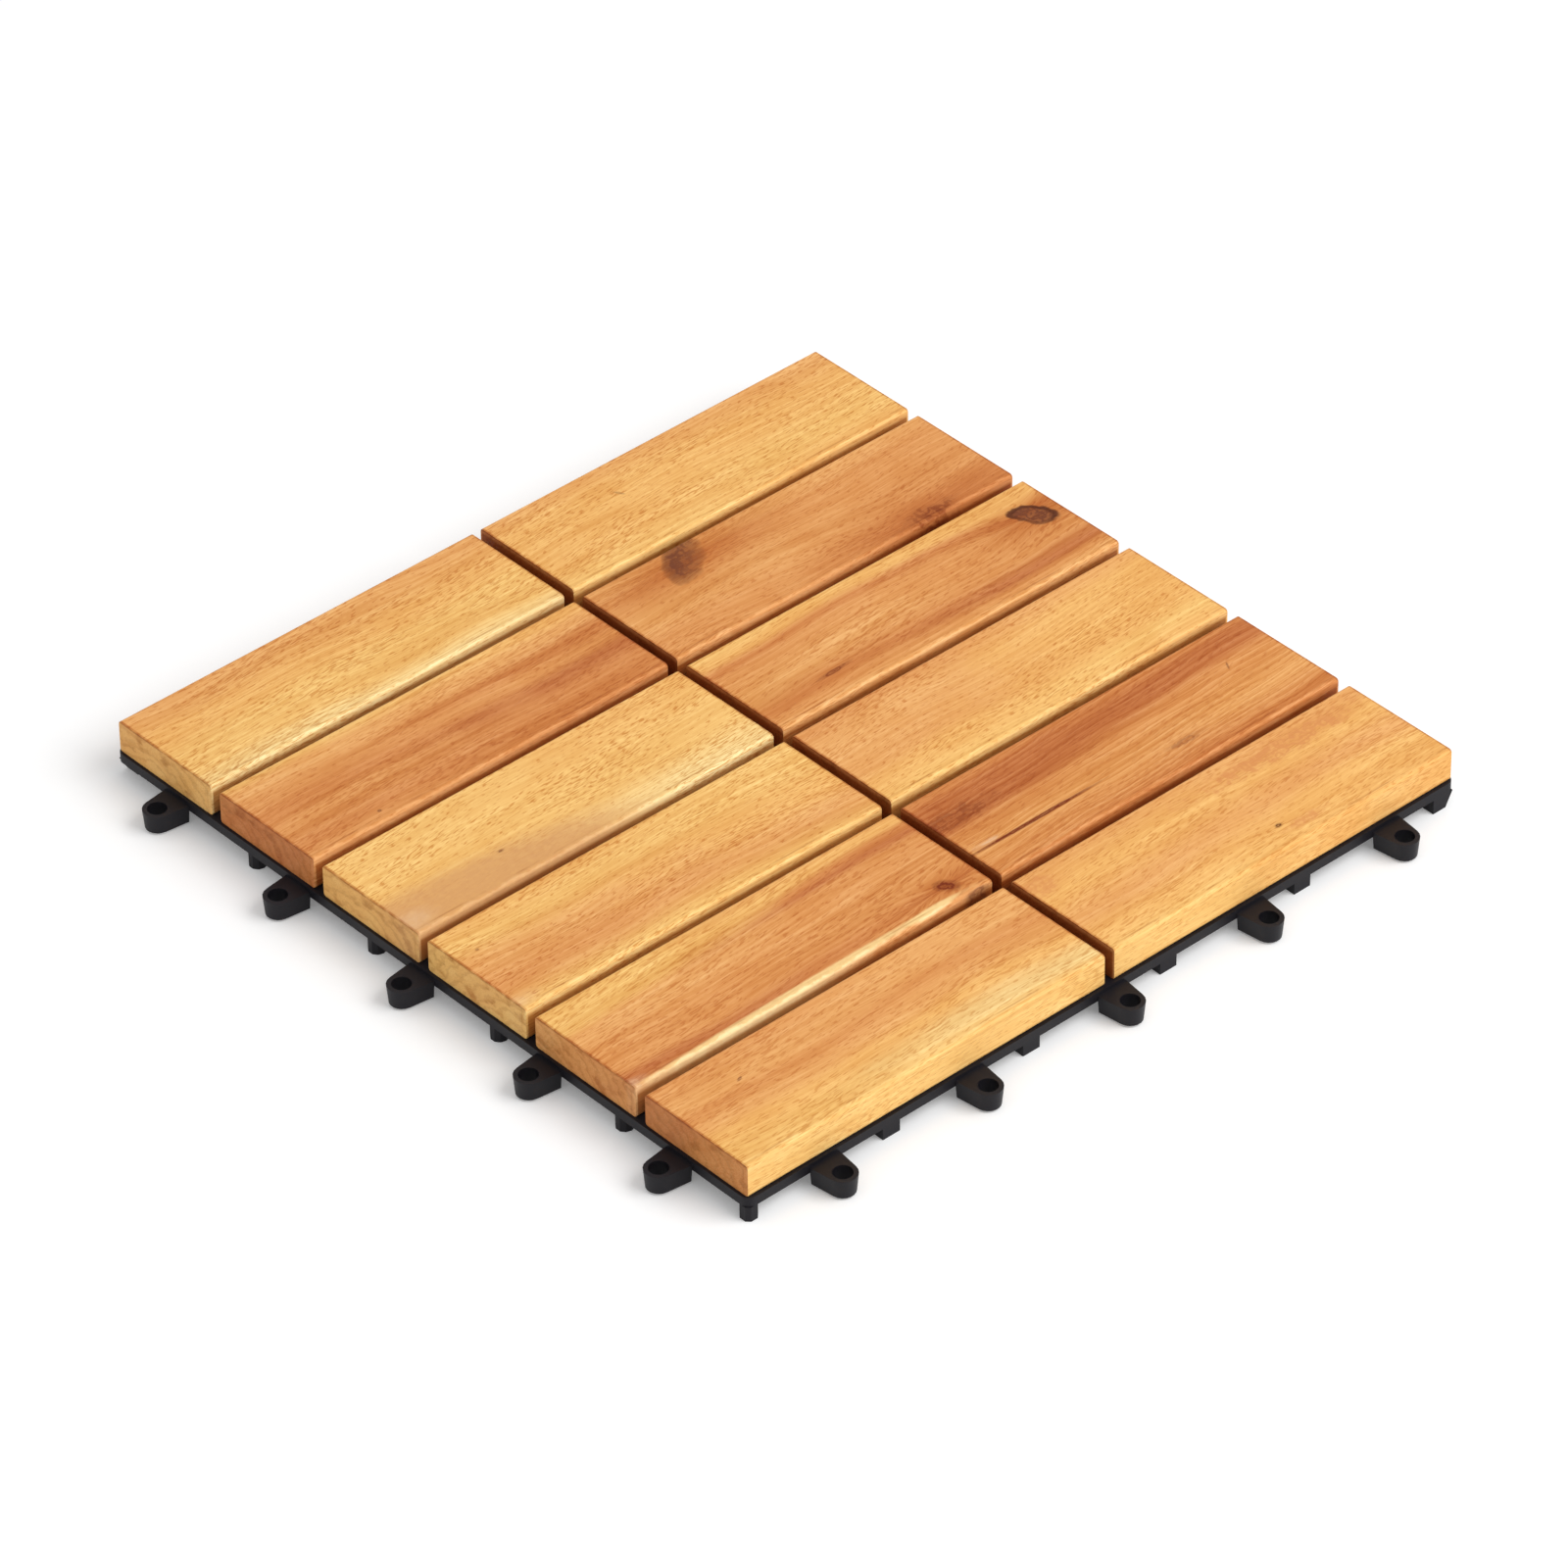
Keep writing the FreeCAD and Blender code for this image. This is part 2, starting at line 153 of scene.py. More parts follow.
TIMBERS: dict[str, Timber] = {
    "slat_a1": Timber(
        seed=1.3, wander=6.0, fibres=0.62, pores=0.9, end=Tone.HONEY,
        near={0.0: Tone.AMBER, 0.45: Tone.HONEY, 0.62: Tone.GOLD, 0.8: Tone.GOLD, 1.0: Tone.CREAM},
        far={0.0: Tone.AMBER, 0.4: Tone.HONEY, 0.56: Tone.GOLD, 0.8: Tone.GOLD, 1.0: Tone.CREAM},
    ),
    "slat_a2": Timber(
        seed=2.7, streaks=0.6, fibres=0.55, lines=0.2, raw_and_highlight=1.0, end=Tone.CHESTNUT,
        near={
            0.0: Tone.GOLD, 0.12: Tone.AMBER, 0.3: Tone.TAN, 0.5: Tone.RUSSET, 0.66: Tone.TAN,
            0.85: Tone.RUSSET, 1.0: Tone.TAN},
        far={
            0.0: Tone.HONEY, 0.16: Tone.AMBER, 0.3: Tone.RUSSET, 0.42: Tone.TAN, 0.58: Tone.CHESTNUT,
            0.75: Tone.RUSSET, 1.0: Tone.RUSSET},
        marks=(
            Mark(-119.0, 57.5, 1.1, 0.8, core=0.8, tone=Tone.UMBER),
            Mark(-50.0, 69.5, 9.0, 6.0, core=0.35, ragged=0.5, tone=Tone.RUSSET),
        ),
    ),
    "slat_a3": Timber(
        seed=3.1, wander=4.0, streaks=0.1, fibres=0.45, lines=0.0, pores=1.0, end=Tone.HONEY,
        near={0.0: Tone.GOLD, 0.6: Tone.GOLD, 1.0: Tone.GOLD},
        far={0.0: Tone.HONEY, 0.6: Tone.GOLD, 1.0: Tone.CREAM},
        marks=(
            Mark(-152.0, 2.0, 100.0, 20.5, core=0.9, ragged=0.2, soft=0.3, tone=Tone.FAWN),
            # A painted highlight of glare near the outer lower corner.
            Mark(-148.0, 8.0, 10.0, 5.5, core=0.3, ragged=0.5, soft=1.0, tone=Tone.CHALK),
            Mark(-104.4, 16.1, 1.4, 0.8, core=0.7, tone=Tone.UMBER),
        ),
    ),
    "slat_a4": Timber(
        seed=4.9, slope=0.02, streaks=0.25, fibres=0.62, pores=0.9, end=Tone.GOLD,
        near={0.0: Tone.HONEY, 0.2: Tone.GOLD, 0.45: Tone.AMBER, 0.7: Tone.TAN, 1.0: Tone.GOLD},
        far={0.0: Tone.GOLD, 0.2: Tone.GOLD, 0.45: Tone.HONEY, 0.75: Tone.AMBER, 1.0: Tone.GOLD},
        marks=(
            Mark(-97.0, -51.2, 1.4, 0.9, core=0.9),
            Mark(-141.7, -16.1, 1.0, 0.7, core=0.6, tone=Tone.UMBER),
            # A painted highlight of glare near the outer lower corner.
            Mark(-149.0, -44.0, 8.0, 3.5, core=0.25, ragged=0.5, soft=1.0, tone=Tone.CHALK),
        ),
    ),
    "slat_a5": Timber(
        seed=5.2, slope=-0.02, streaks=0.5, fibres=0.6, lines=0.35, raw_and_highlight=1.0, end=Tone.TAN,
        near={
            0.0: Tone.GOLD, 0.2: Tone.GOLD, 0.32: Tone.AMBER, 0.6: Tone.TAN, 0.74: Tone.TAN,
            0.86: Tone.CHESTNUT, 1.0: Tone.TAN},
        far={
            0.0: Tone.AMBER, 0.16: Tone.HONEY, 0.24: Tone.RUSSET, 0.29: Tone.CHESTNUT, 0.36: Tone.TAN,
            0.7: Tone.TAN, 0.85: Tone.RUSSET, 1.0: Tone.TAN},
        marks=(
            Mark(
                -14.4, -91.6, 4.8, 2.9, turn=-42.0, core=1.0, rim=0.1, halo=0.85, ragged=0.8, soft=0.55,
                bend=6.0, tone=Tone.RUST),
            # These two marks are pale bands along the -Y arris: partly sanded wood, partly painted highlight.
            Mark(-84.0, -98.0, 71.0, 1.8, turn=0.8, core=0.85, ragged=0.25, soft=0.4, tone=Tone.CREAM),
            Mark(-26.0, -97.4, 12.0, 1.7, turn=2.0, core=0.85, ragged=0.3, soft=0.35, tone=Tone.CREAM),
            # A painted highlight of glare near the outer lower corner.
            Mark(-151.0, -97.0, 7.0, 2.5, core=0.4, ragged=0.6, soft=0.9, tone=Tone.CHALK),
            Mark(-8.5, -99.3, 5.5, 0.8, core=0.75, ragged=0.5, soft=0.6, tone=Tone.UMBER),
        ),
    ),
    "slat_a6": Timber(
        seed=6.6, slope=0.02, streaks=0.3, lines=0.15, raw_and_highlight=0.3, end=Tone.CHESTNUT,
        near={
            0.0: Tone.TAN, 0.3: Tone.AMBER, 0.42: Tone.TAN, 0.55: Tone.AMBER, 0.7: Tone.HONEY,
            0.86: Tone.GOLD, 1.0: Tone.GOLD},
        far={
            0.0: Tone.AMBER, 0.25: Tone.AMBER, 0.35: Tone.TAN, 0.5: Tone.AMBER, 0.66: Tone.HONEY,
            0.86: Tone.CREAM, 1.0: Tone.GOLD},
        marks=(Mark(-124.2, -117.5, 1.4, 0.6, turn=22.0, core=0.8, tone=Tone.UMBER),),
    ),
    "slat_b1": Timber(
        seed=7.4, streaks=0.15, fibres=0.6, lines=0.05, pores=0.9,
        near={0.0: Tone.AMBER, 0.3: Tone.HONEY, 0.7: Tone.HONEY, 1.0: Tone.GOLD},
        far={0.0: Tone.AMBER, 0.4: Tone.HONEY, 0.75: Tone.GOLD, 1.0: Tone.HONEY},
        marks=(Mark(48.0, 134.0, 2.4, 0.8, turn=-60.0, core=0.5, ragged=1.6, tone=Tone.UMBER),),
    ),
    "slat_b2": Timber(
        seed=8.8, streaks=0.4, fibres=0.5, lines=0.2, raw_and_highlight=1.0,
        near={0.0: Tone.AMBER, 0.25: Tone.TAN, 0.55: Tone.AMBER, 0.8: Tone.TAN, 1.0: Tone.TAN},
        far={0.0: Tone.AMBER, 0.25: Tone.TAN, 0.6: Tone.TAN, 0.82: Tone.RUSSET, 1.0: Tone.RUSSET},
        marks=(
            Mark(
                39.2, 91.8, 12.5, 7.0, turn=46.0, core=0.94, rim=0.3, halo=1.0, ragged=0.5, soft=0.4,
                lean=0.35, bend=5.0, tone=Tone.UMBER),
            Mark(
                115.5, 55.4, 13.0, 4.8, turn=5.0, core=0.75, halo=0.7, ragged=1.4, soft=0.8, bend=5.0,
                tone=Tone.RUST),
        ),
    ),
    "slat_b3": Timber(
        seed=9.5, slope=-0.02, streaks=0.45, fibres=0.6, lines=0.35, raw_and_highlight=1.0,
        near={
            0.0: Tone.GOLD, 0.1: Tone.HONEY, 0.2: Tone.RUSSET, 0.3: Tone.TAN, 0.55: Tone.AMBER,
            0.76: Tone.RUSSET, 0.84: Tone.TAN, 1.0: Tone.AMBER},
        far={
            0.0: Tone.HONEY, 0.1: Tone.HONEY, 0.2: Tone.RUSSET, 0.32: Tone.TAN, 0.66: Tone.TAN,
            0.8: Tone.CHESTNUT, 0.9: Tone.TAN, 1.0: Tone.AMBER},
        marks=(
            Mark(
                139.8, 31.9, 8.2, 4.9, turn=-46.0, core=0.95, rim=0.95, halo=0.9, ragged=0.6, soft=0.35,
                bend=8.0, tone=Tone.UMBER),
            Mark(34.7, 13.8, 8.0, 1.2, turn=3.0, core=0.85, halo=0.2, ragged=0.7, tone=Tone.RUST),
        ),
    ),
    "slat_b4": Timber(
        seed=10.2, streaks=0.12, fibres=0.5, lines=0.05, pores=0.9,
        near={0.0: Tone.TAN, 0.2: Tone.AMBER, 0.6: Tone.AMBER, 0.8: Tone.HONEY, 1.0: Tone.GOLD},
        far={0.0: Tone.AMBER, 0.2: Tone.HONEY, 0.7: Tone.HONEY, 0.85: Tone.GOLD, 1.0: Tone.HONEY},
    ),
    "slat_b5": Timber(
        seed=11.9, slope=-0.03, streaks=0.5, fibres=0.8, lines=0.7, pores=0.5, raw_and_highlight=1.0,
        near={
            0.0: Tone.RUSSET, 0.1: Tone.CHESTNUT, 0.34: Tone.CHESTNUT, 0.46: Tone.TAN, 0.6: Tone.AMBER,
            0.8: Tone.TAN, 1.0: Tone.RUSSET},
        far={
            0.0: Tone.RUSSET, 0.08: Tone.RUSSET, 0.2: Tone.CHESTNUT, 0.28: Tone.CHESTNUT, 0.4: Tone.TAN,
            0.7: Tone.AMBER, 1.0: Tone.RUSSET},
        marks=(
            Mark(10.0, -68.0, 20.0, 5.0, core=0.5, ragged=1.0, tone=Tone.RUST),
            Mark(28.0, -86.0, 32.0, 0.95, core=1.0, halo=0.2, ragged=0.35, soft=0.45, tone=Tone.RUST),
            Mark(9.5, -84.2, 6.0, 1.3, core=0.45, ragged=0.9, soft=0.9, tone=Tone.CHALK),
            Mark(92.0, -89.0, 8.0, 1.8, core=0.5, halo=0.25, ragged=1.2, tone=Tone.RUST),
            Mark(128.8, -70.2, 0.5, 2.2, turn=-30.0, core=0.6, tone=Tone.UMBER),
        ),
    ),
    "slat_b6": Timber(
        seed=12.4, slope=0.01, streaks=0.25, lines=0.12, raw_and_highlight=0.15,
        near={0.0: Tone.AMBER, 0.3: Tone.HONEY, 0.6: Tone.AMBER, 0.85: Tone.HONEY, 1.0: Tone.GOLD},
        far={0.0: Tone.AMBER, 0.25: Tone.HONEY, 0.5: Tone.AMBER, 0.7: Tone.HONEY, 1.0: Tone.HONEY},
        marks=(
            Mark(110.0, -112.0, 44.0, 5.0, core=0.9, ragged=1.6, tone=Tone.RUSSET),
            Mark(7.0, -112.0, 9.0, 6.0, core=0.7, ragged=1.4, tone=Tone.RUSSET),
            Mark(92.0, -143.5, 10.0, 2.6, core=0.75, ragged=1.4, tone=Tone.RUSSET),
            Mark(82.5, -140.3, 1.7, 1.1, core=0.9),
        ),
    ),
}


class Wiring:
    """Adds and joins the nodes of one shader tree."""

    def __init__(self, tree: bpy.types.NodeTree) -> None:
        """Starts on a tree.

        Args:
            tree: the material's tree, or that of a group.
        """
        self.tree = tree

    def add(self, kind: str, **settings: object) -> bpy.types.Node:
        """Adds a node.

        Args:
            kind: the node's type name.
            **settings: its properties.

        Returns:
            The new node.
        """
        node = self.tree.nodes.new(kind)
        for name, value in settings.items():
            setattr(node, name, value)
        return node

    def feed(self, socket: Socket, value: object) -> None:
        """Gives a socket a link or a plain value.

        Args:
            socket: the input.
            value: another node's output, a number, or a tuple.
        """
        if isinstance(value, Socket):
            self.tree.links.new(value, socket)
        else:
            socket.default_value = value

    def math(self, operation: str, *values: object) -> Socket:
        """A Math node.

        Args:
            operation: a sign, or the operation's name.
            *values: its inputs.

        Returns:
            Its output.
        """
        node = self.add("ShaderNodeMath", operation=SIGNS.get(operation, operation))
        for socket, value in zip(node.inputs, values):
            self.feed(socket, value)
        return node.outputs[0]

    def vector(self, sign: str, first: object, second: object) -> Socket:
        """A Vector Math node with two inputs.

        Args:
            sign: the sign of its operation.
            first: the first vector.
            second: the second vector.

        Returns:
            Its vector output.
        """
        node = self.add("ShaderNodeVectorMath", operation=SIGNS[sign])
        self.feed(node.inputs[0], first)
        self.feed(node.inputs[1], second)
        return node.outputs[0]

    def join(self, x: object, y: object, z: object) -> Socket:
        """A vector from three values."""
        node = self.add("ShaderNodeCombineXYZ")
        for socket, value in zip(node.inputs, (x, y, z)):
            self.feed(socket, value)
        return node.outputs[0]

    def split(self, vector: Socket) -> Sockets:
        """The three values of a vector."""
        node = self.add("ShaderNodeSeparateXYZ")
        self.feed(node.inputs[0], vector)
        return node.outputs

    def noise(self, place: object, stretch: Triple, detail: float) -> Socket:
        """Noise that is stretched along the grain.

        Args:
            place: where to read it.
            stretch: how many cells it has per unit, along each axis.
            detail: its detail.

        Returns:
            Its value, about 0.5.
        """
        node = self.add("ShaderNodeTexNoise")
        self.feed(node.inputs["Vector"], self.vector("*", place, stretch))
        node.inputs["Scale"].default_value = 1.0
        node.inputs["Detail"].default_value = detail
        return node.outputs[0]

    def step(
            self, value: object, start: object, end: object, low: object = 0.0, high: object = 1.0) -> Socket:
        """A smooth step.

        Args:
            value: what is measured.
            start: where the step starts.
            end: where it ends.
            low: the result before it.
            high: the result after it.

        Returns:
            The result.
        """
        node = self.add("ShaderNodeMapRange", interpolation_type="SMOOTHSTEP")
        for socket, item in zip(node.inputs, (value, start, end, low, high)):
            self.feed(socket, item)
        return node.outputs[0]

    def blend(self, share: object, first: object, second: object, how: str = "MIX") -> Socket:
        """Mixes two colours.

        Args:
            share: how much of the second.
            first: the first colour.
            second: the second colour.
            how: the blend mode.

        Returns:
            The mixed colour.
        """
        node = self.add("ShaderNodeMix", data_type="RGBA", blend_type=how)
        self.feed(node.inputs[0], share)
        self.feed(node.inputs[6], first)
        self.feed(node.inputs[7], second)
        return node.outputs[2]

    def ramp(self, value: Socket, bands: Bands) -> Socket:
        """A row of tones.

        Args:
            value: the place along the row.
            bands: tones by place.

        Returns:
            The tone at the place.
        """
        node = self.add("ShaderNodeValToRGB")
        node.color_ramp.interpolation = "EASE"
        stops = node.color_ramp.elements
        while len(stops) < len(bands):
            stops.new(1.0)
        for stop, (place, tone) in zip(stops, bands.items()):
            stop.position = place
            stop.color = tone.linear()
        self.feed(node.inputs[0], value)
        return node.outputs[0]


class Coat(Wiring):
    """The shader tree of a new material."""

    def __init__(self, name: str) -> None:
        """Makes the material.

        Args:
            name: its name.
        """
        self.material = bpy.data.materials.new(name)
        self.material.use_nodes = True
        super().__init__(self.material.node_tree)
        self.shader = self.tree.nodes["Principled BSDF"]

    def dress(self, values: dict[str, object]) -> None:
        """Gives the shader its inputs, by name."""
        for label, value in values.items():
            self.feed(self.shader.inputs[label], value)

    def bump(self, height: Socket, strength: float, distance: float) -> None:
        """Gives the shader a relief.

        Args:
            height: the height of the relief, from 0 to 1.
            strength: its strength.
            distance: what a height of 1 measures, in metres.
        """
        node = self.add("ShaderNodeBump")
        node.inputs["Strength"].default_value = strength
        node.inputs["Distance"].default_value = distance
        self.feed(node.inputs["Height"], height)
        self.feed(self.shader.inputs["Normal"], node.outputs[0])


class TimberGroups:
    """The shader groups that all slats share.

    Stretches of noise are in cells per millimetre along each axis. Spans and levels are what a smooth step
    starts and ends with.
    """

    SEED_SHIFT = (371.0, 53.0)
    SLOW_BEND = (0.011, 0.03, 0.03)
    QUICK_BEND = (0.022, 0.11, 0.11)
    QUICK_REACH = 3.0
    TILT = 0.7
    MIDDLE = 0.585
    FINE_FIBRES = (0.05, 2.4, 2.4)
    COARSE_FIBRES = (0.013, 0.8, 0.8)
    STREAKS = (0.008, 0.2, 0.2)
    STREAK_SPAN = (0.48, 0.64)
    VEINS = (0.009, 0.28, 0.28)
    VEIN_SHIFT = (190.0, 40.0, 0.0)
    VEIN_SPAN = (0.52, 0.68)
    PORES = (0.34, 2.1, 2.1)
    PORE_LEAN = -0.09
    PORE_EDGE = 0.08
    CROWDS = (0.02, 0.08, 0.08)
    CROWD_SPAN = (0.35, 0.65)
    CROWD_LEVELS = (0.67, 0.56)
    FLECK_LEVEL = 0.90
    CLOUDS = (0.05, 0.07, 0.07)

    OUTLINE = (0.2, 0.26, 0.2)
    SWIRLS = (0.4, 0.5, 0.4)
    SWIRL_BEND = 14.0
    SWIRL_RINGS = 9.0
    SWIRL_SPAN = (-0.9, 1.0)
    SWIRL_SHARE = 0.55
    SPREAD = 0.35
    LEAN_SPAN = (-0.9, 0.5)
    RIM_PLACE = 0.88
    RIM_SPAN = (0.06, 0.26)
    RIM_SIDE_SPAN = (-0.6, 0.8)
    RIM_SOLID_SPAN = (0.3, 0.8)
    RIM_LEAST = 0.6
    HALO_LENGTH = 2.4
    HALO_WIDTH = 1.1

    def __init__(self) -> None:
        """Builds both groups."""
        self.figure = self._figure()
        self.mark = self._mark()

    def _start(
            self, name: str, inputs: dict[str, str],
            outputs: tuple[str, ...]) -> tuple[Wiring, bpy.types.Node, bpy.types.Node]:
        """Makes an empty group.

        Args:
            name: its name.
            inputs: socket types by name.
            outputs: names of its value outputs.

        Returns:
            Its wiring, its input node and its output node.
        """
        tree = bpy.data.node_groups.new(name, "ShaderNodeTree")
        for label, kind in inputs.items():
            tree.interface.new_socket(name=label, in_out="INPUT", socket_type=kind)
        for label in outputs:
            tree.interface.new_socket(name=label, in_out="OUTPUT", socket_type="NodeSocketFloat")
        wiring = Wiring(tree)
        return wiring, wiring.add("NodeGroupInput"), wiring.add("NodeGroupOutput")

    def _figure(self) -> bpy.types.NodeTree:
        """The run of the grain through a slat.

        Returns:
            A group that gives the place across the growth bands, and the masks of fibres, streaks, veins,
            pores, the pale flecks between them, and mottle.
        """
        inputs = {"Place": "NodeSocketVector"}
        inputs.update({name: "NodeSocketFloat" for name in ("Seed", "Slope", "Width", "Wander")})
        outputs = ("Across", "Fibre", "Streak", "Vein", "Pore", "Fleck", "Mottle")
        wiring, source, sink = self._start("timber_figure", inputs, outputs)
        put = source.outputs
        seeds = [wiring.math("*", put["Seed"], reach) for reach in self.SEED_SHIFT]
        shift = wiring.join(*seeds, put["Seed"])
        place = wiring.vector("+", put["Place"], shift)
        x, y, z = wiring.split(put["Place"])
        slow = wiring.math("-", wiring.noise(place, self.SLOW_BEND, 1.0), 0.5)
        quick = wiring.math("-", wiring.noise(place, self.QUICK_BEND, 1.0), 0.5)
        warped = wiring.math("*+", x, put["Slope"], y)
        warped = wiring.math("*+", z, self.TILT, warped)
        warped = wiring.math("*+", slow, wiring.math("*", put["Wander"], 2.0), warped)
        warped = wiring.math("*+", quick, self.QUICK_REACH, warped)
        across = wiring.math("-", self.MIDDLE, wiring.math("/", warped, put["Width"]))
        flow = wiring.vector("+", wiring.join(x, warped, z), shift)
        fine = wiring.noise(flow, self.FINE_FIBRES, 3.0)
        coarse = wiring.noise(flow, self.COARSE_FIBRES, 2.0)
        fibre = wiring.math("*+", fine, 0.5, wiring.math("*", coarse, 0.5))
        streak = wiring.step(wiring.noise(flow, self.STREAKS, 2.0), *self.STREAK_SPAN)
        veins = wiring.noise(wiring.vector("+", flow, self.VEIN_SHIFT), self.VEINS, 2.0)
        leaning = wiring.join(x, wiring.math("*+", x, self.PORE_LEAN, warped), z)
        crowd = wiring.step(wiring.noise(place, self.CROWDS, 1.0), *self.CROWD_SPAN, *self.CROWD_LEVELS)
        pit = wiring.noise(wiring.vector("+", leaning, shift), self.PORES, 0.0)
        pore = wiring.step(pit, crowd, wiring.math("+", crowd, self.PORE_EDGE))
        low = wiring.math("-", self.FLECK_LEVEL, crowd)
        fleck = wiring.step(pit, low, wiring.math("-", 1.0, crowd), 1.0, 0.0)
        mottle = wiring.noise(place, self.CLOUDS, 3.0)
        found = (across, fibre, streak, wiring.step(veins, *self.VEIN_SPAN), pore, fleck, mottle)
        for name, value in zip(outputs, found):
            wiring.feed(sink.inputs[name], value)
        return wiring.tree

    def _mark(self) -> bpy.types.NodeTree:
        """A knot, fleck or check, or a painted highlight.

        Returns:
            A group that gives the masks of its core, rim and halo, and how far the grain bends.
        """
        inputs = {"Place": "NodeSocketVector"}
        names = ("X", "Y", "Length", "Width", "Turn", "Ragged", "Soft", "Lean", "Bend")
        inputs.update({name: "NodeSocketFloat" for name in names})
        outputs = ("Core", "Rim", "Halo", "Shift")
        wiring, source, sink = self._start("timber_mark", inputs, outputs)
        put = source.outputs
        centre = wiring.join(put["X"], put["Y"], 0.0)
        around = wiring.vector("-", put["Place"], centre)
        turned = wiring.add("ShaderNodeVectorRotate", rotation_type="Z_AXIS")
        wiring.feed(turned.inputs["Vector"], around)
        wiring.feed(turned.inputs["Angle"], wiring.math("*", put["Turn"], -math.pi / 180))
        along, over, _ = wiring.split(turned.outputs[0])
        u = wiring.math("/", along, put["Length"])
        v = wiring.math("/", over, put["Width"])
        edge = wiring.math("-", wiring.noise(put["Place"], self.OUTLINE, 2.0), 0.5)
        squares = wiring.math("*+", u, u, wiring.math("*", v, v))
        radius = wiring.math("*+", edge, put["Ragged"], wiring.math("SQRT", squares))
        wiggle = wiring.math("*", wiring.noise(put["Place"], self.SWIRLS, 3.0), self.SWIRL_BEND)
        rings = wiring.math("SINE", wiring.math("*+", radius, self.SWIRL_RINGS, wiggle))
        swirl = wiring.step(rings, *self.SWIRL_SPAN)
        share = wiring.math("*", wiring.math("MINIMUM", put["Ragged"], 1.0), self.SWIRL_SHARE)
        solid = wiring.math("-", 1.0, wiring.math("*", swirl, share))
        inner = wiring.math("-", 1.0, put["Soft"])
        outer = wiring.math("*+", put["Soft"], self.SPREAD, 1.0)
        upper = wiring.step(v, *self.LEAN_SPAN, wiring.math("-", 1.0, put["Lean"]), 1.0)
        filled = wiring.step(radius, inner, outer, 1.0, 0.0)
        core = wiring.math("*", filled, wiring.math("*", solid, upper))
        off_rim = wiring.math("ABSOLUTE", wiring.math("-", radius, self.RIM_PLACE))
        rim = wiring.math("*", wiring.step(off_rim, *self.RIM_SPAN, 1.0, 0.0), upper)
        high_side = wiring.math("+", v, wiring.math("ABSOLUTE", u))
        rim = wiring.math("*", rim, wiring.step(high_side, *self.RIM_SIDE_SPAN, self.RIM_LEAST, 1.0))
        rim = wiring.math("*", rim, wiring.step(solid, *self.RIM_SOLID_SPAN, self.RIM_LEAST, 1.0))
        with_grain, across_grain, _ = wiring.split(around)
        far = wiring.math("/", with_grain, wiring.math("*", put["Length"], self.HALO_LENGTH))
        wide = wiring.math("/", across_grain, wiring.math("*", put["Length"], self.HALO_WIDTH))
        reach = wiring.math("*+", far, far, wiring.math("*", wide, wide))
        halo = wiring.math("EXPONENT", wiring.math("*", reach, -1.0))
        distance = wiring.math("+", wiring.math("ABSOLUTE", across_grain), 1.0)
        side = wiring.math("/", across_grain, distance)
        shift = wiring.math("*", wiring.math("*", side, put["Bend"]), halo)
        for name, value in zip(outputs, (core, rim, halo, shift)):
            wiring.feed(sink.inputs[name], value)
        return wiring.tree


